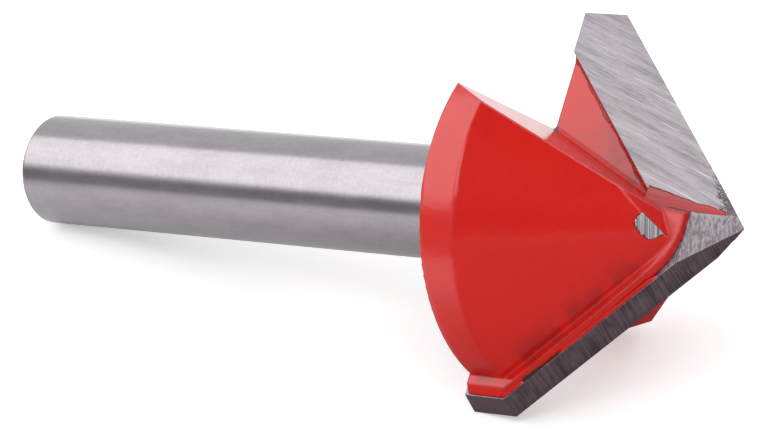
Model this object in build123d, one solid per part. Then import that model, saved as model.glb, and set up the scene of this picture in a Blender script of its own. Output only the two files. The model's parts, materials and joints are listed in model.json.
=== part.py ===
"""Ninety degree V-groove router bit: one turned and milled steel body, two brazed carbide blades.

The bit is built standing on its shank end, with its axis on Z and its point up, and is laid
down at the end as it comes to rest on a table.  Blade 1 reaches out along +X and its cutting
face looks along +Y.  Blade 2 is the same blade, half a turn round the axis.  A "depth" is
measured down the axis from the sharp apex of the V, where the two cutting edges would meet.
"""
from build123d import *
from math import cos, radians, sin, sqrt, tan
import os

# ---- driving sizes, millimetres and degrees -------------------------------------------------
shank_diameter = 6.0
cutting_diameter = 22.0
point_angle = 90.0
overall_length = 47.0          # point to shank end
head_depth = 13.45             # flat back of the steel head
shank_chamfer = 0.3
shank_root_radius = 0.8        # where the shank runs into the head

rim_diameter = 19.2            # steel head between the blades
cone_setback = 1.65            # steel cone behind the cutting cone, down the axis
rim_edge_break = 0.15

rib_diameter = 20.9            # raised rib that backs each blade
rib_setback = 0.9              # rib behind the cutting cone, down the axis
rib_thickness = 0.45           # beyond the blade's back
rib_bevel_angle = 45.0         # clearance along the rib's round end
rib_nose_radius = 3.4          # where the flat nose turns into the rib's cone

blade_width = 3.5              # square to the cutting edge
blade_thickness = 1.15
blade_offset = 0.32            # cutting face in front of the axis
blade_back_depth = 13.72
blade_relief = 24.0            # clearance behind the cutting edges
heel_slope = 16.0              # flat ground behind the point
gash_radius = 1.55             # inside it the cutting edge is ground in to the axis
gash_yaw = 5.5

gullet_floor = 0.25            # in front of the axis, a little below the cutting face
gullet_wall_foot = 4.42        # wall to axis at the back of the head
gullet_slant = 24.7            # wall runs in towards the point
gullet_lean = 6.3              # wall leans back from square to the floor
gullet_corner_radius = 0.3

web_foot = 0.41                # narrow wall beside the point, to the axis at the apex
web_slant = 6.0
web_lean = 33.0
shoulder_depth = 3.87          # milled shoulder round the nose, at the axis
shoulder_slant = 34.0
shoulder_lean = 20.0

# ---- sizes worked out from them --------------------------------------------------------------
half_angle = radians(point_angle / 2)
shank_radius = shank_diameter / 2
rim_radius = rim_diameter / 2
rib_radius = rib_diameter / 2
edge_radius = sqrt((cutting_diameter / 2) ** 2 - blade_offset**2)
blade_back = blade_thickness - blade_offset
rib_side = blade_back + rib_thickness
point_depth = blade_offset * tan(radians(blade_relief)) / sin(half_angle)
nose_depth = point_depth + blade_back / tan(radians(heel_slope))
apex_height = overall_length + point_depth
reach = 3 * overall_length
settling_rounds = 30


def height(depth):
    """Height of a place that lies this deep below the apex."""
    return apex_height - depth


def beyond(place, facing):
    """Everything past a flat plane, on the side that it faces."""
    return Plane(origin=place, z_dir=facing) * Pos(0, 0, reach / 2) * Box(reach, reach, reach)


def half_turn(shape):
    """The same shape on the other side of the axis."""
    return Rot(0, 0, 180) * shape


# ---- cuts, each for the side of blade 1 ------------------------------------------------------
def web_side():
    """In front of the narrow leaning wall beside the point."""
    foot = (web_foot, blade_offset, height(0))
    return beyond(foot, (1, tan(radians(web_lean)), tan(radians(web_slant))))


def gullet():
    """Chip space in front of blade 1: flat floor, long sloping wall and narrow web wall."""
    foot = (gullet_wall_foot, gullet_floor, height(head_depth))
    wall_side = beyond(foot, (1, tan(radians(gullet_lean)), tan(radians(gullet_slant))))
    space = wall_side & beyond((0, gullet_floor, 0), (0, 1, 0))
    corner = space.edges().sort_by_distance(foot)[0]
    return fillet(corner, gullet_corner_radius) & web_side()


def shoulder():
    """Milled away round the nose in front of the rib, so that blade 2's heel clears."""
    face = beyond(
        (0, 0, height(shoulder_depth)),
        (tan(radians(shoulder_slant)), tan(radians(shoulder_lean)), 1),
    )
    return face & beyond((0, rib_side, 0), (0, 1, 0))


def heel():
    """Flat ground across the back of the point of blade 2, up to the web wall."""
    flat = beyond((0, 0, height(point_depth)), (0, cos(radians(heel_slope)), sin(radians(heel_slope))))
    return flat - web_side()


def gash():
    """Ground out of the cutting face of blade 1, so that its edge runs in to the axis."""
    start_depth = gash_radius / tan(half_angle)
    yaw = tan(radians(gash_yaw))
    fall = (yaw * gash_radius + blade_offset) / (start_depth - point_depth)
    return beyond((0, 0, height(point_depth)), (yaw, 1, fall)) & web_side()


# ---- blades ----------------------------------------------------------------------------------
def blade_blank():
    """Plate for blade 1 before grinding, stepped so that both plates lap at the axis."""
    end = -rib_side
    inner_edge = blade_width / sin(half_angle)
    back_corner = (blade_back_depth - inner_edge) * tan(half_angle)
    outline = Polyline(
        (end, height(end / tan(half_angle))),
        (edge_radius, height(edge_radius / tan(half_angle))),
        (edge_radius, height(blade_back_depth)),
        (back_corner, height(blade_back_depth)),
        (end, height(end / tan(half_angle) + inner_edge)),
        close=True,
    )
    face = Plane((0, blade_offset, 0), x_dir=(1, 0, 0), z_dir=(0, -1, 0)) * make_face(outline)
    plate = extrude(face, blade_thickness, dir=(0, -1, 0))
    lap = beyond((0, 0, 0), (-1, 0, 0)) & beyond((0, -blade_offset, 0), (0, 1, 0))
    return plate - lap - half_turn(web_side())


def blade():
    """Blade 1 ground to shape: clearance on both edges, gash and heels at the point."""
    clearance = radians(blade_relief)
    along_cone = beyond(
        (0, blade_offset, height(0)),
        (cos(clearance) * cos(half_angle), -sin(clearance), cos(clearance) * sin(half_angle)),
    )
    round_rim = beyond((edge_radius, blade_offset, 0), (cos(clearance), -sin(clearance), 0))
    return blade_blank() - along_cone - round_rim - gash() - heel() - half_turn(heel())


# ---- steel body ------------------------------------------------------------------------------
def cone_outline(radius, setback):
    """Half outline of a turned head: flat nose, cone, straight rim and flat back."""
    return [
        (0, height(nose_depth)),
        ((nose_depth - setback) * tan(half_angle), height(nose_depth)),
        (radius, height(radius / tan(half_angle) + setback)),
        (radius, height(head_depth)),
        (0, height(head_depth)),
    ]


def turned(points):
    """Solid turned round Z from a half outline."""
    return revolve(Plane.XZ * make_face(Polyline(*points, close=True)), Axis.Z)


def shank():
    """Ground shank with a chamfered end."""
    rod = Pos(0, 0, height(head_depth) / 2) * Cylinder(shank_radius, height(head_depth))
    return chamfer(rod.edges().sort_by(Axis.Z)[0], shank_chamfer)


def rib():
    """Rib across the head that stands up behind both blades, bevelled along its round ends."""
    slope = tan(radians(rib_bevel_angle))
    bevel = beyond((-rib_radius, blade_back, 0), (-1, slope, 0))
    slab = Box(reach, 2 * rib_side, reach) - bevel - half_turn(bevel)
    whole = turned(cone_outline(rib_radius, rib_setback))
    nose_rim = whole.edges().filter_by(GeomType.CIRCLE).sort_by(Axis.Z)[-1]
    return fillet(nose_rim, rib_nose_radius) & slab


def head():
    """Turned head, its back edge just broken."""
    whole = turned(cone_outline(rim_radius, cone_setback))
    back_rim = whole.edges().filter_by(GeomType.CIRCLE).sort_by(Axis.Z)[0]
    return fillet(back_rim, rim_edge_break)


def turned_body():
    """Head and shank in one, with a hollow root between them."""
    whole = head() + shank()
    root = (shank_radius, 0, height(head_depth))
    return fillet(whole.edges().filter_by(GeomType.CIRCLE).sort_by_distance(root)[0], shank_root_radius)


def body():
    """The one-piece body: both ribs stand up, both gullets are milled and both seats cut."""
    whole = turned_body() + rib()
    for cut in (gullet(), shoulder(), blade_blank()):
        whole = whole - cut - half_turn(cut)
    return whole


# ---- the bit lies on a blade corner, a corner of the head and the shank end ----------------
def gullet_wall_corner():
    """Corner of the head where the rim's back edge meets the long wall of gullet 1."""
    lean = tan(radians(gullet_lean))
    foot = gullet_wall_foot + lean * gullet_floor
    scale = 1 + lean**2
    across = (lean * foot + sqrt(scale * rim_radius**2 - foot**2)) / scale
    return Vector(foot - lean * across, across, height(head_depth))


def resting_plane():
    """Table under the bit, seen from the upright bit: Z points up and X towards the point."""
    blade_corner = Vector(-edge_radius, -blade_offset, height(blade_back_depth))
    far_corner = gullet_wall_corner()
    head_corner = Vector(-far_corner.X, -far_corner.Y, far_corner.Z)
    up = (blade_corner + head_corner) * -1
    for _ in range(settling_rounds):
        towards_table = Vector(-up.X, -up.Y, 0).normalized()
        shank_point = towards_table * shank_radius + Vector(0, 0, shank_chamfer)
        up = (head_corner - blade_corner).cross(shank_point - blade_corner).normalized()
        if up.dot(blade_corner) > 0:
            up = up * -1
    point_way = Vector(0, 0, 1) - up * up.Z
    return Plane(origin=blade_corner, x_dir=point_way, z_dir=up)


def laid_down(pieces):
    """The pieces as the bit rests, with the middle of their footprint at the origin."""
    to_table = resting_plane().location.inverse()
    lying = {name: to_table * piece for name, piece in pieces.items()}
    box = Compound(list(lying.values())).bounding_box()
    centre = Pos(-box.center().X, -box.center().Y, -box.min.Z)
    return {name: centre * piece for name, piece in lying.items()}


def build():
    """Every piece of the bit, by name."""
    ground_blade = blade()
    pieces = {
        "cutter_body": body(),
        "carbide_blade_1": ground_blade,
        "carbide_blade_2": half_turn(ground_blade),
    }
    return laid_down(pieces)


if __name__ == "__main__":
    os.makedirs("parts", exist_ok=True)
    for name, piece in build().items():
        export_step(piece, f"parts/{name}.step")
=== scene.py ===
"""Finishes and surroundings for the V-groove router bit, laid out as a Blender add-on.

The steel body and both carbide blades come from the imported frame.  This file gives them their
enamel, ground steel and ground carbide, adds the brazed seams and the enamel that ran over them,
and sets up a plain studio.

Places on the bit are written as (across, ahead, depth) in millimetres.  Across points along
blade 1, ahead is square to blade 1's cutting face, and depth is measured down the bit's own axis
from the sharp apex of the V.  Finishes use the height above the apex instead, which is the depth
with its sign changed.  Blade 2 and all that belongs to it are half a turn round the axis.
"""
import json
from math import cos, pi, radians, sin, tan

import bpy
import numpy as np
from bpy.props import FloatProperty, FloatVectorProperty, PointerProperty
from mathutils import Matrix, Vector


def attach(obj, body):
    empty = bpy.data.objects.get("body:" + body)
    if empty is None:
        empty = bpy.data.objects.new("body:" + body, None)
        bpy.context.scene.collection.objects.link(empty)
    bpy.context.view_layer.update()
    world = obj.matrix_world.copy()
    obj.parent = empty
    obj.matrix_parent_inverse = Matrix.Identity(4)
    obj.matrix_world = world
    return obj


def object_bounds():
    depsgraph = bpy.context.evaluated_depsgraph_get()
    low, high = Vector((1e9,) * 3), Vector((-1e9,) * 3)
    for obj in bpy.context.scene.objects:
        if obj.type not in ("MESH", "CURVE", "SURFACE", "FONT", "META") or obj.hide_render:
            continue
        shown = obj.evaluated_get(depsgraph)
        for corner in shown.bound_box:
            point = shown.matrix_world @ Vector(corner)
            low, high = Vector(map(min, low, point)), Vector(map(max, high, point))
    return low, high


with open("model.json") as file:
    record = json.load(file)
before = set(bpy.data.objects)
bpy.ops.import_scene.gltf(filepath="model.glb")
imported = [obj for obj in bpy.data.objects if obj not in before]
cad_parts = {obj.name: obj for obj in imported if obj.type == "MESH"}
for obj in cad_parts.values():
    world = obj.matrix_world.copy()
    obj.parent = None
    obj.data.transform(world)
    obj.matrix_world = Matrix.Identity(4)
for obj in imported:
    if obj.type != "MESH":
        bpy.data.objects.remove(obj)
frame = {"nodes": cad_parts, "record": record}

bl_info = {
    "name": "V-Groove Router Bit",
    "version": (1, 0, 0),
    "blender": (4, 5, 0),
    "location": "View3D > Sidebar > Router Bit",
    "description": "Finishes, brazed seams and a studio for a V-groove router bit",
    "category": "Object",
}

MM = 0.001
CAD_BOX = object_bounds()

# ---- how the bit lies: its own axis and directions in the frame ------------------------------
SHANK = frame["record"]["mounts"][0]
MOUNT_TO_APEX = 30.6015 * MM
BLADE_ROLL = radians(48.66)            # blade 1 turned up from level, round the axis
AXIS = -Vector(SHANK["axis"]).normalized()
APEX = Vector(SHANK["pos_m"]) + AXIS * MOUNT_TO_APEX
LEVEL = Vector((0, 1, 0))
RAISED = AXIS.cross(LEVEL)
ACROSS = LEVEL * cos(BLADE_ROLL) + RAISED * sin(BLADE_ROLL)
AHEAD = AXIS.cross(ACROSS)

# ---- sizes of the steel and carbide, millimetres and degrees ----------------------------------
HEAD_DEPTH = 13.45
ROOT_DEPTH = 14.25                     # where the hollow root has run out on the shank
BLADE_FACE = 0.32                      # cutting face ahead of the axis
BLADE_BACK = -0.83
BLADE_END_DEPTH = 13.72
EDGE_RADIUS = 10.995
SEAM_OFFSET = 4.95                     # inner edge of the plate behind the cutting cone
SLANT = cos(pi / 4)                    # rise, and run, of one step along the cutting cone
GULLET_FLOOR = 0.25
GULLET_FOOT = (4.42, GULLET_FLOOR, -HEAD_DEPTH)     # a point of the gullet's long wall
GULLET_SLANT = tan(radians(24.7))
GULLET_LEAN = tan(radians(6.3))
SHOULDER_HEIGHT = -3.87                # milled shoulder beside the nose, at the axis
SHOULDER_SLANT = tan(radians(34))
SHOULDER_LEAN = tan(radians(20))
RIB_SIDE = 1.28
RIB_RADIUS = 10.45
RIB_SETBACK = 0.9
CLEARANCE = radians(24)
HEEL_SLOPE = radians(16)
GASH_START = 1.12                      # depth where the gash meets the cutting face, at the axis
GASH_SLOPE = 0.277                     # how much deeper it meets it per millimetre across
WEB_FOOT = 0.41
WEB_SLANT = tan(radians(6))
WEB_LEAN = tan(radians(33))

# ---- where wear, seams and runs lie, millimetres and degrees ----------------------------------
TOUCHED_AT = (-0.86, 2.24)             # middle of the straight side of the touched flat
TOUCHED_LONG = (-0.509, -0.861)        # direction of that side
TOUCHED_HALF = (0.66, 0.68)            # half length along the side, and width from it
TOUCHED_HEIGHT = (-4.35, 0.95)         # middle and half of the heights between which it lies
TOUCHED_LINES = (2.1, -4.1, 6.2)       # its grinding lines lie square to this, per millimetre
CHIP_AT = (4.4, 0.4, -HEAD_DEPTH)      # enamel chipped off the gullet's corner
CHIP_RADIUS = 0.26
SHANK_BARE_DEPTH = ROOT_DEPTH + 0.1    # enamel ends here on the shank
GROUND_EDGE = 0.012                    # edges of the carbide are broken by this much
SCRATCH_TURN = (0.0, radians(19.3), 0.0)            # scratches on the cutting face
WHEEL_TURN = (0.0, radians(-45.0), radians(14.6))   # wheel marks on the clearance
FLECK_TURN = (0.0, radians(12.0), 0.0)              # flecks on the heels
FLOOR_SEAM_START = 6.15                # depths where seams and runs begin and end
BACK_SEAM_START = 3.9
BACK_SEAM_END = BLADE_END_DEPTH - 0.35
RUN_DEPTHS = (1.3, 6.5)
RUN_OPENING = 0.218                    # how fast the run widens with depth
BROKEN_SEAM = (9.35, 0.9)              # middle and half length, as depths along the back edge
SUNK = 0.03                            # how far hidden sides of a seam reach into the solids
HAIR = 0.012                           # how far a seam's edges lie off the faces beside them
UNDERSIDE = 0.05                       # how far below the floor, or its own top, a seam reaches

# ---- fixed dark colours -----------------------------------------------------------------------
DARK_LINE = (0.035, 0.01, 0.01)        # where the enamel ends against a blade or a bare patch
RUN_RIM = (0.05, 0.012, 0.012)
FILLET_RIM = (0.03, 0.01, 0.012)
FLUX = (0.012, 0.008, 0.006), (0.06, 0.03, 0.02)

# ---- studio, in metres and in the frame's directions ------------------------------------------
LIGHTS = {                             # by brightness setting: name, way, distance and size
    "key": ("key_light", (-0.745, -0.412, 0.510), 0.26, (0.24, 0.183)),
    "fill": ("front_light", (0.35, -0.72, 0.75), 0.34, (0.22, 0.16)),
    "back": ("back_light", (0.42, 0.52, 0.74), 0.30, (0.13, 0.13)),
}
FLOOR_HALF = 2.0
SHADED_WAY = (-0.76, -0.65, 0.0)       # way in which the mirrored table darkens
CAMERA_AT = Vector((155.012, -193.230, 114.135)) * MM
CAMERA_TURN = (66.3336, 1.9360, 37.8228)            # degrees
CAMERA_LENS = 239.12                   # millimetres, as is the sensor
CAMERA_SENSOR = 36.0
CAMERA_RANGE = (0.01, 10.0)


# ---- sizes and colours that a user would change -----------------------------------------------
def length(name, description, default):
    """A length in metres, shown in the panel with its unit."""
    return FloatProperty(name=name, description=description, default=default, min=0.0,
                         subtype="DISTANCE", unit="LENGTH", precision=5)


def share(name, description, default, high=1.0):
    """A plain number from nothing to its highest value."""
    return FloatProperty(name=name, description=description, default=default, min=0.0, max=high)


def colour(name, description, default):
    """A linear colour."""
    return FloatVectorProperty(name=name, description=description, default=default,
                               subtype="COLOR", size=3, min=0.0, max=1.0)


class EnamelSettings(bpy.types.PropertyGroup):
    """Red enamel on the head."""

    red: colour("Enamel", "Colour of the enamel", (0.60, 0.007, 0.003))
    # this darker red is painted shade on the head, and the pooled tone of the enamel fillets
    shaded_and_pooled_red: colour("Thick enamel", "Enamel where it pooled", (0.30, 0.008, 0.006))
    # this pale red is real thin enamel on the runs, a painted reflection on the web walls and a
    # painted highlight on the ridges
    thin_and_highlight_red: colour("Thin enamel", "Enamel where it drew thin", (0.40, 0.055, 0.065))
    roughness: share("Roughness", "Roughness of the enamel's skin", 0.12)
    edge_radius: length("Edge radius", "How far the enamel rounds the edges under it", 0.2 * MM)


class MetalSettings(bpy.types.PropertyGroup):
    """Ground steel and ground carbide."""

    steel: colour("Ground steel", "Shank and bare patches", (0.43, 0.402, 0.43))
    face: colour("Cutting face", "Ground face of the blades", (0.335, 0.312, 0.335))
    clearance: colour("Clearance", "Coarse ground backs of the cutting edges", (0.25, 0.183, 0.212))
    heel: colour("Heel", "Flat ground behind the point", (0.36, 0.32, 0.35))


class SeamSettings(bpy.types.PropertyGroup):
    """Brazed seams and runs of enamel."""

    floor_width: length("Floor seam", "Width of the seam on the gullet floor", 0.42 * MM)
    back_width: length("Back seam", "Width of the seam behind a blade", 0.16 * MM)
    film: length("Film", "Thickness of the enamel that ran over a blade", 0.045 * MM)


class StudioSettings(bpy.types.PropertyGroup):
    """Light and surroundings."""

    key: share("Key light", "Brightness of the large light", 1.05, 20.0)
    fill: share("Fill light", "Brightness of the front light", 3.1, 20.0)
    back: share("Back light", "Brightness of the small light behind", 2.2, 20.0)
    ambient: share("Surroundings", "Brightness of the room", 0.78, 5.0)


# ---- places on the bit ---------------------------------------------------------------------
def placed(across, ahead, depth, turned):
    """Points in the frame, metres, from arrays of millimetres on the bit.

    The three arrays are weighed into the bit's three directions and added to the apex.  For
    blade 2 the first two change sign, which is half a turn round the axis.
    """
    side = -1.0 if turned else 1.0
    spread = np.broadcast_arrays(side * across, side * ahead, -1.0 * depth)
    return np.array(APEX) + np.stack(spread, axis=-1) @ np.array((ACROSS, AHEAD, AXIS)) * MM


def waver(along, seed, size):
    """Smooth repeatable unevenness: five sine waves of rising pitch, each weaker than the last."""
    phases = np.random.default_rng(seed).uniform(0, 2 * pi, 5)
    pitches = np.array((0.9, 2.1, 4.3, 8.7, 15.1))
    strengths = np.array((0.5, 0.35, 0.25, 0.15, 0.08))
    return size * (np.sin(np.outer(along, pitches) + phases) @ strengths)


def ring_piece(name, rings, finish, rim=None):
    """A closed piece from a grid of points: rings of equal count, one after another.

    Each ring is joined to the next by quads, and each end is closed by a fan round its middle.
    Rim, where it is given, is kept as an attribute: for each place round a ring, 1 at the edge
    where the piece runs out and 0 elsewhere.
    """
    count, around = rings.shape[:2]
    middles = rings[[0, -1]].mean(axis=1)
    points = np.concatenate((rings.reshape(-1, 3), middles))
    step = np.arange(around)
    beside = (step + 1) % around
    row = np.arange(count - 1)[:, None] * around
    quads = np.stack((row + step, row + beside, row + around + beside, row + around + step), -1)
    last = (count - 1) * around
    first_fan = np.stack((beside, step, np.full(around, count * around)), -1)
    last_fan = np.stack((last + step, last + beside, np.full(around, count * around + 1)), -1)
    faces = quads.reshape(-1, 4).tolist() + first_fan.tolist() + last_fan.tolist()
    mesh = bpy.data.meshes.new(name)
    mesh.from_pydata(points.tolist(), [], faces)
    mesh.polygons.foreach_set("use_smooth", np.ones(len(faces), bool))
    turned_out(mesh)
    mesh.materials.append(finish)
    if rim is not None:
        values = np.concatenate((np.tile(rim, count), np.ones(2)))
        mesh.attributes.new("rim", "FLOAT", "POINT").data.foreach_set("value", values)
    piece = bpy.data.objects.new(name, mesh)
    bpy.context.scene.collection.objects.link(piece)
    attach(piece, "root")
    return piece


def turned_out(mesh):
    """Flips a closed mesh whose faces point inwards, told by the sign of its volume."""
    mesh.calc_loop_triangles()
    corners = np.empty(len(mesh.loop_triangles) * 3, int)
    mesh.loop_triangles.foreach_get("vertices", corners)
    points = np.empty(len(mesh.vertices) * 3)
    mesh.vertices.foreach_get("co", points)
    points = points.reshape(-1, 3)
    points = points - points.mean(axis=0)
    a, b, c = points[corners.reshape(-1, 3).T]
    if (np.cross(a, b) * c).sum() < 0:
        mesh.flip_normals()


# ---- node helpers ----------------------------------------------------------------------------
def shade(tint, share_of_light):
    """A colour made darker or lighter by a plain factor."""
    return tuple(min(1.0, part * share_of_light) for part in tint)


class Nodes:
    """A node tree, with short calls that add a node and give back its output."""

    def __init__(self, tree):
        self.tree = tree
        self.tree.nodes.clear()

    def put(self, kind, inputs=(), output=0, **settings):
        """Adds a node, sets or links the inputs given by name or number, and returns an output."""
        made = self.tree.nodes.new(kind)
        for name, value in settings.items():
            setattr(made, name, value)
        for key, value in dict(inputs).items():
            self.feed(made.inputs[key], value)
        return made.outputs[output]

    def feed(self, end, value):
        """Links an input to another node's output, or sets it to a plain value."""
        if isinstance(value, bpy.types.NodeSocket):
            self.tree.links.new(value, end)
        else:
            end.default_value = value

    def maths(self, operation, *values):
        """One Math node."""
        return self.put("ShaderNodeMath", enumerate(values), operation=operation)

    def parted(self, vector):
        """The three parts of a vector."""
        return self.put("ShaderNodeSeparateXYZ", {0: vector}).node.outputs

    def dot(self, vector, way):
        """How far a vector reaches along a direction."""
        return self.put("ShaderNodeVectorMath", {0: vector, 1: way}, "Value",
                        operation="DOT_PRODUCT")

    def inverse(self, value):
        """1 less the value: a mask turned over."""
        return self.maths("SUBTRACT", 1.0, value)

    def rising(self, value, low, high):
        """0 below low, 1 above high, with a soft step between them."""
        return self.put("ShaderNodeMapRange", {"Value": value, "From Min": low, "From Max": high},
                        interpolation_type="SMOOTHSTEP")

    def spread(self, value, low, high):
        """A value from 0 to 1 spread between low and high."""
        return self.put("ShaderNodeMapRange", {"Value": value, "To Min": low, "To Max": high})

    def noise(self, place, scale, detail=3.0, roughness=0.55):
        """Cloudy noise from 0 to 1."""
        return self.put("ShaderNodeTexNoise", {
            "Vector": place, "Scale": scale, "Detail": detail, "Roughness": roughness})

    def stretched(self, place, scales, turn=(0.0, 0.0, 0.0)):
        """A place turned about the origin and then scaled, for streaks."""
        turned = self.put("ShaderNodeVectorRotate", {"Vector": place, "Rotation": turn},
                          rotation_type="EULER_XYZ")
        return self.put("ShaderNodeVectorMath", {0: turned, 1: scales}, operation="MULTIPLY")

    def blend(self, kind, factor, first, second):
        """Mix node of a kind, Float, Vector or Color: the first at 0 and the second at 1."""
        data_type = "RGBA" if kind == "Color" else kind.upper()
        made = self.put("ShaderNodeMix", data_type=data_type).node
        ends = {end.identifier: end for end in (*made.inputs, *made.outputs)}
        self.feed(ends["Factor_Float"], factor)
        self.feed(ends[f"A_{kind}"], first)
        self.feed(ends[f"B_{kind}"], second)
        return ends[f"Result_{kind}"]

    def mixed(self, factor, first, second):
        """Blend of two colours, each a socket or three plain numbers."""
        first, second = [colour if isinstance(colour, bpy.types.NodeSocket) else (*colour, 1.0)
                         for colour in (first, second)]
        return self.blend("Color", factor, first, second)

    def between(self, factor, first, second):
        """Blend of two numbers."""
        return self.blend("Float", factor, first, second)

    def between_vectors(self, factor, first, second):
        """Blend of two directions."""
        return self.blend("Vector", factor, first, second)


class Finish(Nodes):
    """A new material's node tree, with calls for its place on the bit and for its surface."""

    def __init__(self, name):
        self.material = bpy.data.materials.new(name)
        self.material.use_nodes = True
        super().__init__(self.material.node_tree)

    def facing(self, direction, turned):
        """How squarely the surface faces a direction of the bit: 1 is square on."""
        normal = self.put("ShaderNodeTexCoord", output="Normal")
        way = Matrix((ACROSS, AHEAD, AXIS)).transposed() @ Vector(direction).normalized()
        if turned:
            way = way - 2 * (way - AXIS * way.dot(AXIS))
        return self.dot(normal, way)

    def on_bit(self, turned=False):
        """Place on the bit in millimetres: across, ahead, and height above the apex."""
        turn = Matrix((ACROSS, AHEAD, AXIS))
        if turned:
            turn = Matrix.Diagonal((-1, -1, 1)) @ turn
        return self.put("ShaderNodeMapping", {
            "Vector": self.put("ShaderNodeTexCoord", output="Object"),
            "Location": -(turn @ APEX) / MM,
            "Rotation": turn.to_euler("XYZ"),
            "Scale": (1 / MM,) * 3,
        })

    def raised(self, height, depth, normal=None):
        """Bump of a depth in millimetres."""
        inputs = {"Height": height, "Distance": depth * MM, "Strength": 1.0}
        if normal is not None:
            inputs["Normal"] = normal
        return self.put("ShaderNodeBump", inputs)

    def rounded(self, radius):
        """Normal of a surface whose edges are rounded to a radius in metres."""
        return self.put("ShaderNodeBevel", {"Radius": radius}, samples=6)

    def surface(self, **inputs):
        """Closes the tree with a surface shader and gives back the material."""
        named = {name.replace("_", " ").title(): value for name, value in inputs.items()}
        named = {("IOR" if name == "Ior" else name): value for name, value in named.items()}
        shader = self.put("ShaderNodeBsdfPrincipled", named)
        end = self.tree.nodes.new("ShaderNodeOutputMaterial")
        self.feed(end.inputs["Surface"], shader)
        return self.material


# ---- finishes ----------------------------------------------------------------------------------
def body_finish(enamel, metal):
    """Red enamel over the head, which stops on the shank and is worn or ground off in places."""
    f = Finish("enamelled_head")
    place = f.on_bit()
    across, ahead, up = f.parted(place)
    fine = f.maths("SUBTRACT", f.noise(place, 6.0, 4.0), 0.5)

    on_shank = bare_shank(f, up, f.maths("SUBTRACT", f.noise(place, 1.6, 4.0), 0.5))
    touched, touched_rim = touched_flat(f, across, ahead, up, fine)
    chipped = gullet_chip(f, place, fine)
    bare = f.maths("MAXIMUM", on_shank, f.maths("MAXIMUM", touched, chipped))

    rings = f.noise(f.stretched(place, (0.6, 0.6, 8.0)), 1.0, 4.0)
    patchy = f.noise(f.stretched(place, (1.3, 1.3, 0.4)), 0.9, 5.0, 0.65)
    lines = f.noise(f.dot(place, TOUCHED_LINES), 1.0, 3.0)
    shank_grain = f.between(0.25, f.between(0.8, rings, patchy), f.noise(place, 5.0, 3.0))
    steel = bare_steel(f, metal, shank_grain, lines, touched, chipped)

    dark_lines = f.maths("MAXIMUM", touched_rim, blade_outline(f, across, ahead, up, fine))
    ridge_highlights = f.maths("MULTIPLY", painted_ridge_highlights(f, place, ahead, fine), 0.5)
    # darker red: painted shade beside the ribs, on the gullet floors and by the seams, with a faint
    # random tone
    red = f.mixed(painted_shade_and_tone(f, place), tuple(enamel.red), tuple(enamel.shaded_and_pooled_red))
    # pale red on the web walls: painted reflection
    red = f.mixed(f.maths("MAXIMUM", web_wall(f, False), web_wall(f, True)), red,
                  tuple(enamel.thin_and_highlight_red))
    red = f.mixed(dark_lines, red, DARK_LINE)
    # paler pink along the ridges: painted highlight
    red = f.mixed(ridge_highlights, red, shade(enamel.thin_and_highlight_red, 1.7))

    radius = f.between(soft_edges(f, across, ahead, up), enamel.edge_radius,
                       enamel.edge_radius * 2.7)
    rounded = f.rounded(radius)
    enamel_normal = f.raised(f.noise(place, 1.3, 3.0), 0.018, rounded)
    steel_normal = f.raised(f.between(touched, rings, lines), 0.0015, rounded)
    enamel_skin = f.spread(patchy, enamel.roughness, enamel.roughness + 0.08)
    steel_skin = f.between(on_shank, f.spread(patchy, 0.4, 0.55), f.spread(patchy, 0.14, 0.24))
    return f.surface(
        base_color=f.mixed(bare, red, steel),
        metallic=f.maths("MULTIPLY", bare, f.between(on_shank, 0.75, 1.0)),
        roughness=f.between(bare, enamel_skin, steel_skin),
        ior=1.7,
        normal=f.between_vectors(bare, enamel_normal, steel_normal),
    )


def bare_steel(f, metal, shank_grain, lines, touched, chipped):
    """Ground steel: fine on the shank, coarse and bright on the touched flat, dark in the chip."""
    steel = f.mixed(f.rising(shank_grain, 0.3, 0.7), shade(metal.steel, 0.88),
                    shade(metal.steel, 1.08))
    flat_steel = f.mixed(f.rising(lines, 0.42, 0.58), shade(metal.steel, 0.8),
                         shade(metal.steel, 2.2))
    steel = f.mixed(touched, steel, flat_steel)
    return f.mixed(chipped, steel, shade(metal.steel, 0.4))


def painted_shade_and_tone(f, place):
    """Painted shade from 0 to 1 beside the ribs, on the gullet floors and by the seams, broken up by
    noise, over a faint random cloudy tone.
    """
    across, ahead, up = f.parted(place)
    cloud = f.noise(place, 0.35, 3.0)
    shade_breakup = f.noise(place, 0.8, 4.0)
    off_axis = f.maths("ABSOLUTE", across)
    off_middle = f.maths("ABSOLUTE", ahead)

    # painted shade in the corner beside each rib, broken up by noise
    off_rib = f.maths("SUBTRACT", off_middle, RIB_SIDE)
    beside_rib = f.maths("MULTIPLY", f.rising(off_rib, -0.1, 0.05),
                         f.inverse(f.rising(off_rib, 0.1, 1.9)))
    beside_rib = f.maths("MULTIPLY", beside_rib, f.rising(shade_breakup, 0.34, 0.62))
    beside_rib = f.maths("MULTIPLY", beside_rib, f.rising(off_axis, 1.5, 4.0))
    # mostly painted shade beside the ribs, with a faint random cloudy tone over all
    deep = f.maths("MAXIMUM", f.maths("MULTIPLY", beside_rib, 0.75),
                   f.maths("MULTIPLY", f.rising(cloud, 0.35, 0.8), 0.12))

    # painted shade on the gullet floors, deepest beside the seam and broken up by noise
    on_floor = f.inverse(f.rising(off_middle, 0.3, 0.4))
    on_floor = f.maths("MULTIPLY", on_floor, f.rising(up, -12.8, -7.0))
    to_seam = f.maths("ADD", f.maths("ADD", up, SEAM_OFFSET), off_axis)
    beside_seam = f.rising(f.maths("ADD", to_seam, f.maths("MULTIPLY", shade_breakup, 1.6)), -0.5, 0.7)
    floor_shade = f.maths("MAXIMUM", f.spread(f.rising(shade_breakup, 0.4, 0.65), 0.5, 1.0), beside_seam)
    return f.maths("MAXIMUM", deep, f.maths("MULTIPLY", on_floor, floor_shade))


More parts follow.
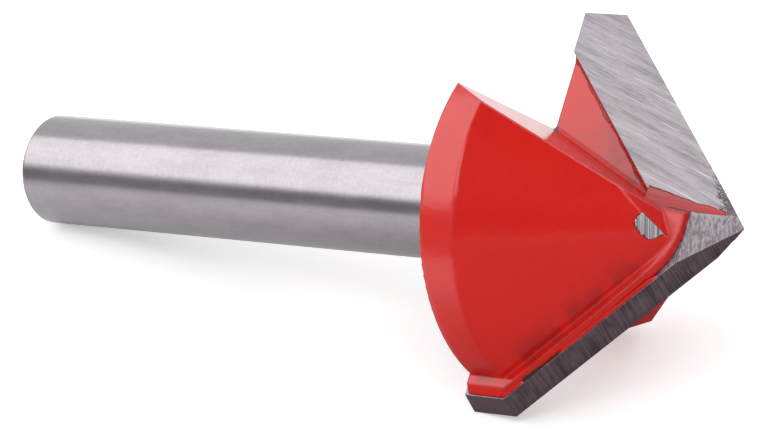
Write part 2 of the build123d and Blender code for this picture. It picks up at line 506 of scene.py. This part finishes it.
def web_wall(f, turned):
    """1 on the narrow leaning wall beside the point, where a pale red stands in as a painted
    reflection.
    """
    return f.rising(f.facing((1, WEB_LEAN, WEB_SLANT), turned), 0.985, 0.995)


def painted_ridge_highlights(f, place, ahead, fine):
    """1 along the sharp ridges of the cone, at gullets and shoulders: a painted highlight where the
    edges catch the light.

    Each ridge is a narrow ragged strip of the cone, just behind the plane that cuts it.
    """
    cuts = (((1.0, GULLET_LEAN, GULLET_SLANT), GULLET_FOOT),
            ((SHOULDER_SLANT, SHOULDER_LEAN, 1.0), (0.0, 0.0, SHOULDER_HEIGHT)))
    found = 0.0
    for side in (1.0, -1.0):
        half = f.rising(f.maths("MULTIPLY", ahead, side), RIB_SIDE + 0.05, RIB_SIDE + 0.2)
        for facing, foot in cuts:
            way = Vector((side * facing[0], side * facing[1], facing[2])).normalized()
            start = Vector((side * foot[0], side * foot[1], foot[2])).dot(way)
            off = f.maths("SUBTRACT", f.dot(place, way), start)
            ragged = f.maths("SUBTRACT", off, f.maths("MULTIPLY", fine, 0.1))
            strip = f.maths("MULTIPLY", f.rising(ragged, -0.09, -0.06),
                            f.inverse(f.rising(off, -0.02, -0.008)))
            found = f.maths("MAXIMUM", found, f.maths("MULTIPLY", strip, half))
    return found


def bare_shank(f, up, uneven):
    """1 on the shank, where the enamel stops just behind the hollow root."""
    depth = f.maths("ADD", f.maths("MULTIPLY", up, -1.0), f.maths("MULTIPLY", uneven, 0.35))
    return f.rising(depth, SHANK_BARE_DEPTH, SHANK_BARE_DEPTH + 0.06)


def touched_flat(f, across, ahead, up, fine):
    """1 on a small flat that the wheel touched beside the shoulder, and 1 on its dark rim.

    The flat is a half ellipse, straight along the shoulder's edge and ragged on its other side.
    """
    off_across = f.maths("SUBTRACT", across, TOUCHED_AT[0])
    off_ahead = f.maths("SUBTRACT", ahead, TOUCHED_AT[1])
    way_across, way_ahead = TOUCHED_LONG
    along = f.maths("ADD", f.maths("MULTIPLY", off_across, way_across),
                    f.maths("MULTIPLY", off_ahead, way_ahead))
    aside = f.maths("ADD", f.maths("MULTIPLY", off_across, way_ahead),
                    f.maths("MULTIPLY", off_ahead, -way_across))
    along = f.maths("ADD", along, f.maths("MULTIPLY", aside, -0.15))
    shares = [f.maths("POWER", f.maths("ABSOLUTE", f.maths("DIVIDE", off, half)), 2.6)
              for off, half in zip((along, aside), TOUCHED_HALF)]
    inside = f.inverse(f.maths("ADD", *shares))
    inside = f.maths("ADD", inside, f.maths("MULTIPLY", fine, 1.1))
    inside = f.maths("MINIMUM", inside, f.maths("MULTIPLY", f.maths("ADD", aside, 0.02), 4.0))
    middle, half = TOUCHED_HEIGHT
    band = f.maths("LESS_THAN", f.maths("ABSOLUTE", f.maths("SUBTRACT", up, middle)), half)
    inside = f.maths("MULTIPLY", inside, band)
    shown = f.rising(inside, 0.02, 0.1)
    outer = f.maths("MULTIPLY", f.rising(inside, -0.3, -0.1), band)
    return shown, f.maths("MULTIPLY", f.maths("SUBTRACT", outer, shown), 0.75)


def blade_outline(f, across, ahead, up, fine):
    """1 along the thin dark line where the enamel of the rib ends against a blade's back."""
    behind = f.maths("MULTIPLY", f.maths("SIGN", ahead), f.maths("SUBTRACT", 0.0, across))
    line = f.maths("SUBTRACT", f.maths("ABSOLUTE", ahead), -BLADE_BACK)
    line = f.maths("ADD", line, f.maths("MULTIPLY", fine, 0.05))
    line = f.maths("MULTIPLY", f.rising(line, -0.06, -0.03),
                   f.inverse(f.rising(line, 0.03, 0.065)))
    line = f.maths("MULTIPLY", line, f.rising(up, -4.5, -4.2))
    return f.maths("MULTIPLY", line, f.rising(behind, -0.75, -0.6))


def gullet_chip(f, place, fine):
    """1 where the enamel is chipped off the gullet's corner at the back of the head."""
    corner = f.put("ShaderNodeVectorMath", {0: place, 1: CHIP_AT}, "Value", operation="DISTANCE")
    corner = f.maths("ADD", corner, f.maths("MULTIPLY", fine, 0.9))
    return f.inverse(f.rising(corner, CHIP_RADIUS, CHIP_RADIUS + 0.06))


def soft_edges(f, across, ahead, up):
    """1 where the enamel lies thick and rounds the edges most: low on the rim and at the nose."""
    low_rim = f.maths("MULTIPLY", f.rising(f.maths("MULTIPLY", across, -1.0), 0.5, 5.0),
                      f.rising(f.maths("MULTIPLY", up, -1.0), 8.5, 10.5))
    low_rim = f.maths("MULTIPLY", low_rim, f.rising(ahead, RIB_SIDE + 0.6, RIB_SIDE + 2.0))
    nose = f.maths("MULTIPLY", f.rising(up, -4.6, -3.9), 0.45)
    return f.maths("MAXIMUM", low_rim, nose)


def carbide_finish(metal, enamel, turned):
    """Ground carbide: scratched cutting face, coarse dark clearance and finer flecked heels."""
    f = Finish("ground_carbide_2" if turned else "ground_carbide_1")
    place = f.on_bit(turned)
    speckle = f.noise(place, 12.0, 3.0, 0.65)

    # which face this is: cutting face, back or heel, or else clearance and ends
    face = f.rising(f.facing((0, 1, 0), turned), 0.985, 0.995)
    own_back = f.rising(f.facing((0, -cos(HEEL_SLOPE / 2), sin(HEEL_SLOPE / 2)), turned),
                        0.97, 0.985)
    next_heel = f.rising(f.facing((0, cos(HEEL_SLOPE), sin(HEEL_SLOPE)), turned), 0.996, 0.999)
    heel = f.maths("MAXIMUM", own_back, next_heel)

    # enamel covers the side that looks into the other blade's gullet; its pale red is a painted
    # reflection
    web = f.rising(f.facing((-1, -WEB_LEAN, -WEB_SLANT), turned), 0.90, 0.93)

    face_colour, face_grain = scratched_face(f, metal, place, speckle)
    dark_colour, wheel_marks = coarse_clearance(f, metal, place, turned)
    heel_colour, heel_grain = flecked_heel(f, metal, place, speckle)
    ground = f.mixed(face, f.mixed(heel, dark_colour, heel_colour), face_colour)
    grain = f.between(face, f.between(heel, wheel_marks, heel_grain), face_grain)
    return f.surface(
        base_color=f.mixed(web, ground, tuple(enamel.thin_and_highlight_red)),
        metallic=f.maths("MULTIPLY", f.inverse(web), 0.9),
        roughness=f.between(face, f.between(web, 0.42, enamel.roughness),
                            f.spread(face_grain, 0.24, 0.4)),
        normal=f.raised(grain, 0.004, f.rounded(GROUND_EDGE * MM)),
    )


def coarse_clearance(f, metal, place, turned):
    """Colour and grain of the clearance: marks square to the cutting edge, paler on the rim."""
    marks = f.noise(f.stretched(place, (11.0, 0.5, 0.5), WHEEL_TURN), 1.0, 3.0, 0.6)
    broad = f.noise(place, 0.9, 2.0)
    ground = f.mixed(f.rising(f.between(0.35, marks, broad), 0.36, 0.66),
                     shade(metal.clearance, 0.62), shade(metal.clearance, 1.42))
    rim = f.rising(f.facing((cos(CLEARANCE), -sin(CLEARANCE), 0), turned), 0.95, 0.97)
    return f.mixed(f.maths("MULTIPLY", rim, 0.8), ground, shade(metal.clearance, 1.5)), marks


def flecked_heel(f, metal, place, speckle):
    """Colour and grain of the heels: short flecks almost square to the axis, with a painted
    highlight by the web.
    """
    flecks = f.noise(f.stretched(place, (2.6, 10.0, 10.0), FLECK_TURN), 1.0, 3.0)
    grain = f.between(0.3, flecks, speckle)
    ground = f.mixed(f.rising(grain, 0.38, 0.62), shade(metal.heel, 0.55),
                     shade(metal.heel, 1.25))
    to_web = f.maths("SUBTRACT", f.dot(place, (-1.0, -WEB_LEAN, WEB_SLANT)),
                     WEB_FOOT + WEB_LEAN * BLADE_FACE)
    # painted highlight: a paler strip along the web edge
    web_edge_highlight = f.maths("MULTIPLY", f.rising(to_web, -0.3, -0.05), 0.5)
    return f.mixed(web_edge_highlight, ground, shade(metal.heel, 1.6)), grain


def scratched_face(f, metal, place, speckle):
    """Colour and grain of the cutting face: soft arcs, fine scratches and a dark scorched point.

    The scorched patch spreads from the gash at the point and thins out along the cutting edge.
    """
    across, _, up = f.parted(place)
    arcs = f.noise(f.stretched(place, (2.2, 1.0, 0.14), SCRATCH_TURN), 1.0, 3.0, 0.5)
    long_scratch = f.noise(f.stretched(place, (9.0, 1.0, 0.3), SCRATCH_TURN), 1.0, 4.0, 0.65)
    fine_scratch = f.noise(f.stretched(place, (26.0, 1.0, 1.4), SCRATCH_TURN), 1.0, 3.0, 0.6)
    grain = f.between(0.5, long_scratch, fine_scratch)
    tone = f.between(0.6, arcs, grain)
    tone = f.between(0.12, tone, speckle)
    worn = f.mixed(f.rising(tone, 0.38, 0.62), shade(metal.face, 0.6), shade(metal.face, 1.12))
    bright_line = f.rising(f.noise(f.stretched(place, (11.0, 1.0, 0.22), SCRATCH_TURN), 1.0, 2.0),
                           0.66, 0.72)
    worn = f.mixed(f.maths("MULTIPLY", bright_line, 0.7), worn, shade(metal.face, 1.7))

    depth = f.maths("MULTIPLY", up, -1.0)
    past_gash = f.maths("SUBTRACT", f.maths("SUBTRACT", depth, GASH_START),
                        f.maths("MULTIPLY", across, GASH_SLOPE))
    off_edge = f.maths("MULTIPLY", f.maths("SUBTRACT", depth, across), 0.64)
    flecks = f.noise(f.stretched(place, (5.0, 5.0, 2.5), SCRATCH_TURN), 1.0, 4.0, 0.7)
    scorch = f.maths("ADD", f.maths("ADD", past_gash, off_edge),
                     f.maths("MULTIPLY", f.maths("SUBTRACT", flecks, 0.5), 2.6))
    scorch = f.inverse(f.rising(scorch, 0.75, 1.15))
    scorched = f.mixed(f.rising(f.between(0.5, speckle, fine_scratch), 0.5, 0.6),
                       shade(metal.face, 0.16), shade(metal.face, 1.5))
    worn = f.mixed(f.maths("MULTIPLY", scorch, 0.9), worn, scorched)
    return worn, f.between(scorch, grain, flecks)


def seam_finish(enamel):
    """Dark rough enamel over braze."""
    f = Finish("enamelled_braze")
    place = f.on_bit()
    lumps = f.noise(place, 4.0, 4.0)
    return f.surface(
        base_color=f.mixed(f.rising(lumps, 0.35, 0.7), shade(enamel.red, 0.45),
                           shade(enamel.red, 0.8)),
        roughness=f.spread(lumps, 0.22, 0.4),
        normal=f.raised(lumps, 0.05),
    )


def film_finish(enamel):
    """Enamel that ran thinly over the carbide, redder towards the point and dark at its rim."""
    f = Finish("enamel_run")
    place = f.on_bit()
    lumps = f.noise(place, 1.6, 3.0)
    up = f.parted(place)[2]
    thin = f.maths("MULTIPLY", f.inverse(f.rising(up, -3.2, -1.5)), 0.45)
    thin = f.maths("ADD", thin, 0.25)
    red = f.mixed(f.maths("ADD", thin, f.maths("MULTIPLY", lumps, 0.3)), tuple(enamel.red),
                  tuple(enamel.thin_and_highlight_red))
    rim = f.put("ShaderNodeAttribute", output="Fac", attribute_name="rim")
    return f.surface(
        base_color=f.mixed(f.rising(rim, 0.25, 0.7), red, RUN_RIM),
        roughness=f.spread(lumps, 0.16, 0.26),
        normal=f.raised(lumps, 0.008),
    )


def fillet_finish(enamel):
    """Enamel that filled the corner behind a blade, with a dark line against the carbide."""
    f = Finish("enamelled_fillet")
    place = f.on_bit()
    lumps = f.noise(place, 2.0, 3.0)
    rim = f.put("ShaderNodeAttribute", output="Fac", attribute_name="rim")
    rim = f.maths("ADD", rim, f.maths("MULTIPLY", f.maths("SUBTRACT", lumps, 0.5), 0.6))
    red = f.mixed(f.maths("MULTIPLY", lumps, 0.4), tuple(enamel.red), tuple(enamel.shaded_and_pooled_red))
    return f.surface(
        base_color=f.mixed(f.rising(rim, 0.55, 0.85), red, FILLET_RIM),
        roughness=f.spread(lumps, 0.2, 0.32),
        normal=f.raised(lumps, 0.008),
    )


def flux_finish():
    """Dark burnt flux where the enamel has broken out of a seam."""
    f = Finish("burnt_flux")
    place = f.on_bit()
    grit = f.noise(place, 9.0, 4.0)
    return f.surface(
        base_color=f.mixed(grit, *FLUX),
        roughness=f.spread(grit, 0.6, 0.9),
        normal=f.raised(grit, 0.04),
    )


# ---- seams and runs ---------------------------------------------------------------------------
def floor_seam(turned, width, finish):
    """Seam between the plate's inner side and the gullet floor.

    The profile is a low hollow fillet: it starts on the plate's side, a hair above the cutting
    face, and falls in a hollow curve almost to the floor.  It is carried along the plate's inner
    edge, and its width wavers.
    """
    depth = np.linspace(FLOOR_SEAM_START, HEAD_DEPTH + 0.02, 90)
    edge = depth - SEAM_OFFSET
    seed = 5 if turned else 3
    widths = width / MM * (1 + waver(depth * 2, seed, 0.35))
    fall = np.linspace(0, 1, 7)
    top = (BLADE_FACE - GULLET_FLOOR + HAIR) * (1 - fall) ** 1.6 + HAIR
    out = np.concatenate((fall, fall[::-1]))
    high = np.concatenate((top, np.full(len(fall), -UNDERSIDE)))
    away = widths[:, None] * out[None, :] - SUNK
    across = edge[:, None] - SLANT * away
    rings = placed(across, GULLET_FLOOR + high, depth[:, None], turned)
    return ring_piece(f"floor_seam_{2 if turned else 1}", rings, finish)


def rake_run(turned, film, finish):
    """Enamel that ran down the web wall on to the cutting face, with a ragged outer edge.

    Across the run the film is even and ends in a rounded lip.  At the wall it climbs, as a falling
    exponential of the way across, up to the heel above and leans back as the wall does.  Its
    outer edge lies on a line that opens towards the gullet and wavers.
    """
    depth = np.linspace(*RUN_DEPTHS, 130)
    foot = WEB_FOOT + WEB_SLANT * depth - SUNK
    ragged = waver(depth, 12 if turned else 11, 0.05) + waver(depth * 4.0, 21, 0.015)
    outer = np.maximum(WEB_FOOT - 0.02 + RUN_OPENING * depth + ragged, foot + 0.12)
    wall = np.clip(tan(HEEL_SLOPE) * (depth - 0.2) - BLADE_FACE, 0.02, 0.45)
    fall = np.linspace(0, 1, 14) ** 1.5
    climb = wall[:, None] * np.exp(-fall * 7)
    lip = np.sqrt(np.clip(1 - fall**6, 0, 1))
    taper = np.clip((depth - depth[0]) / 0.15, 0.3, 1)[:, None]
    top = (film / MM * lip) * taper + climb
    under = np.full((len(depth), len(fall)), -SUNK)
    out = foot[:, None] + (outer - foot)[:, None] * fall
    across = np.concatenate((out - WEB_LEAN * climb, out[:, ::-1]), axis=1)
    high = np.concatenate((top, under), axis=1)
    rings = placed(across, BLADE_FACE + high, depth[:, None], turned)
    rim = np.concatenate((fall, fall[::-1])) ** 8
    return ring_piece(f"enamel_run_{2 if turned else 1}", rings, finish, rim)


def back_edge_fillet(name, turned, reach, wide, finish):
    """Fillet in the corner behind a plate's back edge: out along the cone, then down the rim.

    Reach holds the depth of each point along the edge, and wide how far the fillet spreads over
    the rib there.  Its top starts just under the plate's edge, with the dark rim, and falls as the
    0.8th power of the way across to just under the rib's surface.
    """
    drop = (BLADE_FACE - BLADE_BACK) * tan(CLEARANCE)
    cone_drop = drop / SLANT
    edge = EDGE_RADIUS - drop
    on_cone = reach < edge + cone_drop
    across = np.minimum(reach - cone_drop, edge)
    out_across = np.where(on_cone, SLANT, 1.0)[:, None]
    out_depth = np.where(on_cone, -SLANT, 0.0)[:, None]
    fall = np.where(on_cone, (RIB_SETBACK - cone_drop) * SLANT, edge - RIB_RADIUS + wide)
    way = np.linspace(0, 1, 8)
    top = -HAIR - (fall + 0.01)[:, None] * way**0.8
    proud = np.concatenate((top, top[:, ::-1] - UNDERSIDE), axis=1)
    behind = wide[:, None] * np.concatenate((way, way[::-1])) - 0.01
    rings = placed(across[:, None] + out_across * proud, BLADE_BACK - behind,
                   reach[:, None] + out_depth * proud, turned)
    rim = np.concatenate((1 - way, 1 - way[::-1])) ** 2.5
    return ring_piece(name, rings, finish, rim)


def back_seam(turned, width, finish):
    """Enamel fillet between the plate's back and the rib, thin where it has broken out."""
    reach = np.linspace(BACK_SEAM_START, BACK_SEAM_END, 170)
    wide = width / MM * (1 + waver(reach * 3, 8 if turned else 7, 0.15))
    wide = wide * np.clip((reach - reach[0]) / 0.5, 0.1, 1)
    if turned:
        middle, half = BROKEN_SEAM
        wide = wide * np.clip((np.abs(reach - middle) - half) / 0.15, 0.1, 1)
    return back_edge_fillet(f"back_seam_{2 if turned else 1}", turned, reach, wide, finish)


def broken_seam(width, finish):
    """Burnt flux that shows where the enamel has broken out of blade 2's back seam."""
    middle, half = BROKEN_SEAM
    reach = np.linspace(middle - half, middle + half, 60)
    swell = np.clip((reach - middle) / half + 0.3, 0.15, 1) * (1 + waver(reach * 9, 31, 0.4))
    ends = np.clip((half - np.abs(reach - middle)) / 0.12, 0.1, 1)
    return back_edge_fillet("broken_seam_2", True, reach, 1.3 * width / MM * swell * ends, finish)


# ---- operators ---------------------------------------------------------------------------------
class ROUTERBIT_OT_body(bpy.types.Operator):
    """Gives the steel body its enamel and its bare ground steel."""

    bl_idname = "router_bit.body"
    bl_label = "Body finish"

    def execute(self, context):
        finish = body_finish(context.scene.bit_enamel, context.scene.bit_metal)
        refinish("cutter_body", finish)
        return {"FINISHED"}


class ROUTERBIT_OT_blades(bpy.types.Operator):
    """Gives both carbide blades their ground faces."""

    bl_idname = "router_bit.blades"
    bl_label = "Blade finish"

    def execute(self, context):
        colours = context.scene.bit_metal, context.scene.bit_enamel
        refinish("carbide_blade_1", carbide_finish(*colours, False))
        refinish("carbide_blade_2", carbide_finish(*colours, True))
        return {"FINISHED"}


class ROUTERBIT_OT_seams(bpy.types.Operator):
    """Adds the brazed seams round both blades."""

    bl_idname = "router_bit.seams"
    bl_label = "Brazed seams"

    def execute(self, context):
        sizes = context.scene.bit_seams
        dark = seam_finish(context.scene.bit_enamel)
        red = fillet_finish(context.scene.bit_enamel)
        for turned in (False, True):
            floor_seam(turned, sizes.floor_width, dark)
            back_seam(turned, sizes.back_width, red)
        broken_seam(sizes.back_width, flux_finish())
        return {"FINISHED"}


class ROUTERBIT_OT_runs(bpy.types.Operator):
    """Adds the enamel that ran on to the cutting faces."""

    bl_idname = "router_bit.runs"
    bl_label = "Enamel runs"

    def execute(self, context):
        finish = film_finish(context.scene.bit_enamel)
        for turned in (False, True):
            rake_run(turned, context.scene.bit_seams.film, finish)
        return {"FINISHED"}


class ROUTERBIT_OT_studio(bpy.types.Operator):
    """Adds the floor, the lights, the room and the camera."""

    bl_idname = "router_bit.studio"
    bl_label = "Studio"

    def execute(self, context):
        studio = context.scene.bit_studio
        add_floor()
        for setting, (name, way, distance, size) in LIGHTS.items():
            soft_light(name, way, distance, size, getattr(studio, setting))
        room(studio.ambient)
        add_camera()
        context.scene.view_settings.view_transform = "Standard"
        return {"FINISHED"}


def refinish(node, finish):
    """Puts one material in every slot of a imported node."""
    target = frame["nodes"][node]
    for slot in target.material_slots:
        slot.material = finish


def floor_finish():
    """Pale matt table that reads white, and that gloss mirrors darker in front and on the right."""
    f = Finish("pale_floor")
    place = f.put("ShaderNodeTexCoord", output="Object")
    path = f.put("ShaderNodeLightPath").node.outputs
    right, back, _ = f.parted(place)
    away = f.dot(place, SHADED_WAY)
    in_front = f.spread(f.rising(away, 0.024, 0.048), 1.0, 0.34)
    on_right = f.maths("MULTIPLY", f.rising(right, 0.002, 0.012),
                       f.inverse(f.rising(back, 0.0, 0.02)))
    near = f.spread(f.rising(away, -0.005, 0.02), 0.68, 0.9)
    mirrored = f.maths("MULTIPLY", in_front, f.spread(on_right, 1.0, 0.3))
    mirrored = f.maths("MULTIPLY", mirrored, near)

    paleness = f.between(path["Is Glossy Ray"], 1.0, mirrored)
    grain = f.noise(place, 900.0, 2.0)
    pale = f.mixed(grain, (0.80, 0.80, 0.80), (0.82, 0.82, 0.82))
    matt = f.put("ShaderNodeBsdfDiffuse", {"Color": f.mixed(paleness, (0.0, 0.0, 0.0), pale)})

    behind = f.rising(back, 0.02, 0.05)
    in_gloss = f.maths("ADD", f.maths("MULTIPLY", mirrored, 0.12),
                       f.maths("MULTIPLY", behind, 0.5))
    strength = f.maths("ADD", f.maths("MULTIPLY", path["Is Camera Ray"], 0.4),
                       f.maths("MULTIPLY", path["Is Glossy Ray"], in_gloss))
    glow = f.put("ShaderNodeEmission", {"Color": (1, 1, 1, 1), "Strength": strength})
    end = f.tree.nodes.new("ShaderNodeOutputMaterial")
    f.feed(end.inputs["Surface"], f.put("ShaderNodeAddShader", {0: matt, 1: glow}))
    return f.material


def add_floor():
    """A wide flat floor under the bit."""
    mesh = bpy.data.meshes.new("pale_floor")
    signs = ((-1, -1), (1, -1), (1, 1), (-1, 1))
    corners = [(x * FLOOR_HALF, y * FLOOR_HALF, 0) for x, y in signs]
    mesh.from_pydata(corners, [], [(0, 1, 2, 3)])
    mesh.materials.append(floor_finish())
    floor = bpy.data.objects.new("pale_floor", mesh)
    bpy.context.scene.collection.objects.link(floor)


def soft_light(name, way, distance, size, brightness):
    """A rectangular soft light that faces the bit from a given way, of a given radiance."""
    light = bpy.data.lights.new(name, "AREA")
    light.shape = "RECTANGLE"
    light.size, light.size_y = size
    light.energy = brightness * pi * size[0] * size[1]
    lamp = bpy.data.objects.new(name, light)
    way = Vector(way).normalized()
    middle = (CAD_BOX[0] + CAD_BOX[1]) / 2
    lamp.location = middle + way * distance
    lamp.rotation_euler = way.to_track_quat("Z", "Y").to_euler()
    bpy.context.scene.collection.objects.link(lamp)


def room(ambient):
    """Surroundings: white to the camera, even to matt surfaces, and graded for gloss.

    Gloss sees a room that darkens towards the right, with a soft grey band low in front, where a
    wall lies in half shade.
    """
    world = bpy.data.worlds.new("room")
    bpy.context.scene.world = world
    world.use_nodes = True
    r = Nodes(world.node_tree)
    path = r.put("ShaderNodeLightPath").node.outputs
    right, back, up = r.parted(r.put("ShaderNodeTexCoord"))
    side = r.rising(right, -0.45, 0.35)
    wall = r.maths("MULTIPLY", r.rising(up, -0.08, 0.0),
                   r.inverse(r.rising(up, 0.10, 0.17)))
    wall = r.maths("MULTIPLY", wall, r.inverse(r.rising(back, -0.4, 0.1)))
    level = r.between(wall, r.between(side, 0.8, 0.08), 0.3)
    strength = r.between(path["Is Glossy Ray"], ambient, level)
    white = r.maths("MAXIMUM", path["Is Camera Ray"], path["Is Transmission Ray"])
    strength = r.between(white, strength, 1.0)
    background = r.put("ShaderNodeBackground", {"Color": (1, 1, 1, 1), "Strength": strength})
    end = r.tree.nodes.new("ShaderNodeOutputWorld")
    r.feed(end.inputs["Surface"], background)


def add_camera():
    """A long lens from the right and a little above, slightly rolled."""
    camera = bpy.data.cameras.new("camera")
    camera.sensor_width = CAMERA_SENSOR
    camera.lens = CAMERA_LENS
    camera.clip_start, camera.clip_end = CAMERA_RANGE
    seat = bpy.data.objects.new("camera", camera)
    seat.location = CAMERA_AT
    seat.rotation_euler = [radians(angle) for angle in CAMERA_TURN]
    bpy.context.scene.collection.objects.link(seat)
    bpy.context.scene.camera = seat


OPERATORS = (ROUTERBIT_OT_body, ROUTERBIT_OT_blades, ROUTERBIT_OT_seams, ROUTERBIT_OT_runs,
             ROUTERBIT_OT_studio)
SETTINGS = {"bit_enamel": EnamelSettings, "bit_metal": MetalSettings, "bit_seams": SeamSettings,
            "bit_studio": StudioSettings}


class ROUTERBIT_PT_panel(bpy.types.Panel):
    """Router bit tools in the sidebar."""

    bl_label = "Router Bit"
    bl_idname = "ROUTERBIT_PT_panel"
    bl_space_type = "VIEW_3D"
    bl_region_type = "UI"
    bl_category = "Router Bit"

    def draw(self, context):
        for group in SETTINGS:
            for name in SETTINGS[group].__annotations__:
                self.layout.prop(getattr(context.scene, group), name)
        for operator in OPERATORS:
            self.layout.operator(operator.bl_idname)


def register():
    """Registers every class and hangs the settings on the scene."""
    for kind in (*SETTINGS.values(), *OPERATORS, ROUTERBIT_PT_panel):
        bpy.utils.register_class(kind)
    for name, kind in SETTINGS.items():
        setattr(bpy.types.Scene, name, PointerProperty(type=kind))


def unregister():
    """Takes the settings off the scene and unregisters every class."""
    for name in SETTINGS:
        delattr(bpy.types.Scene, name)
    for kind in reversed((*SETTINGS.values(), *OPERATORS, ROUTERBIT_PT_panel)):
        bpy.utils.unregister_class(kind)


def main():
    """Makes every piece and the studio."""
    register()
    bpy.ops.router_bit.body()
    bpy.ops.router_bit.blades()
    bpy.ops.router_bit.seams()
    bpy.ops.router_bit.runs()
    bpy.ops.router_bit.studio()


if __name__ == "__main__":
    main()
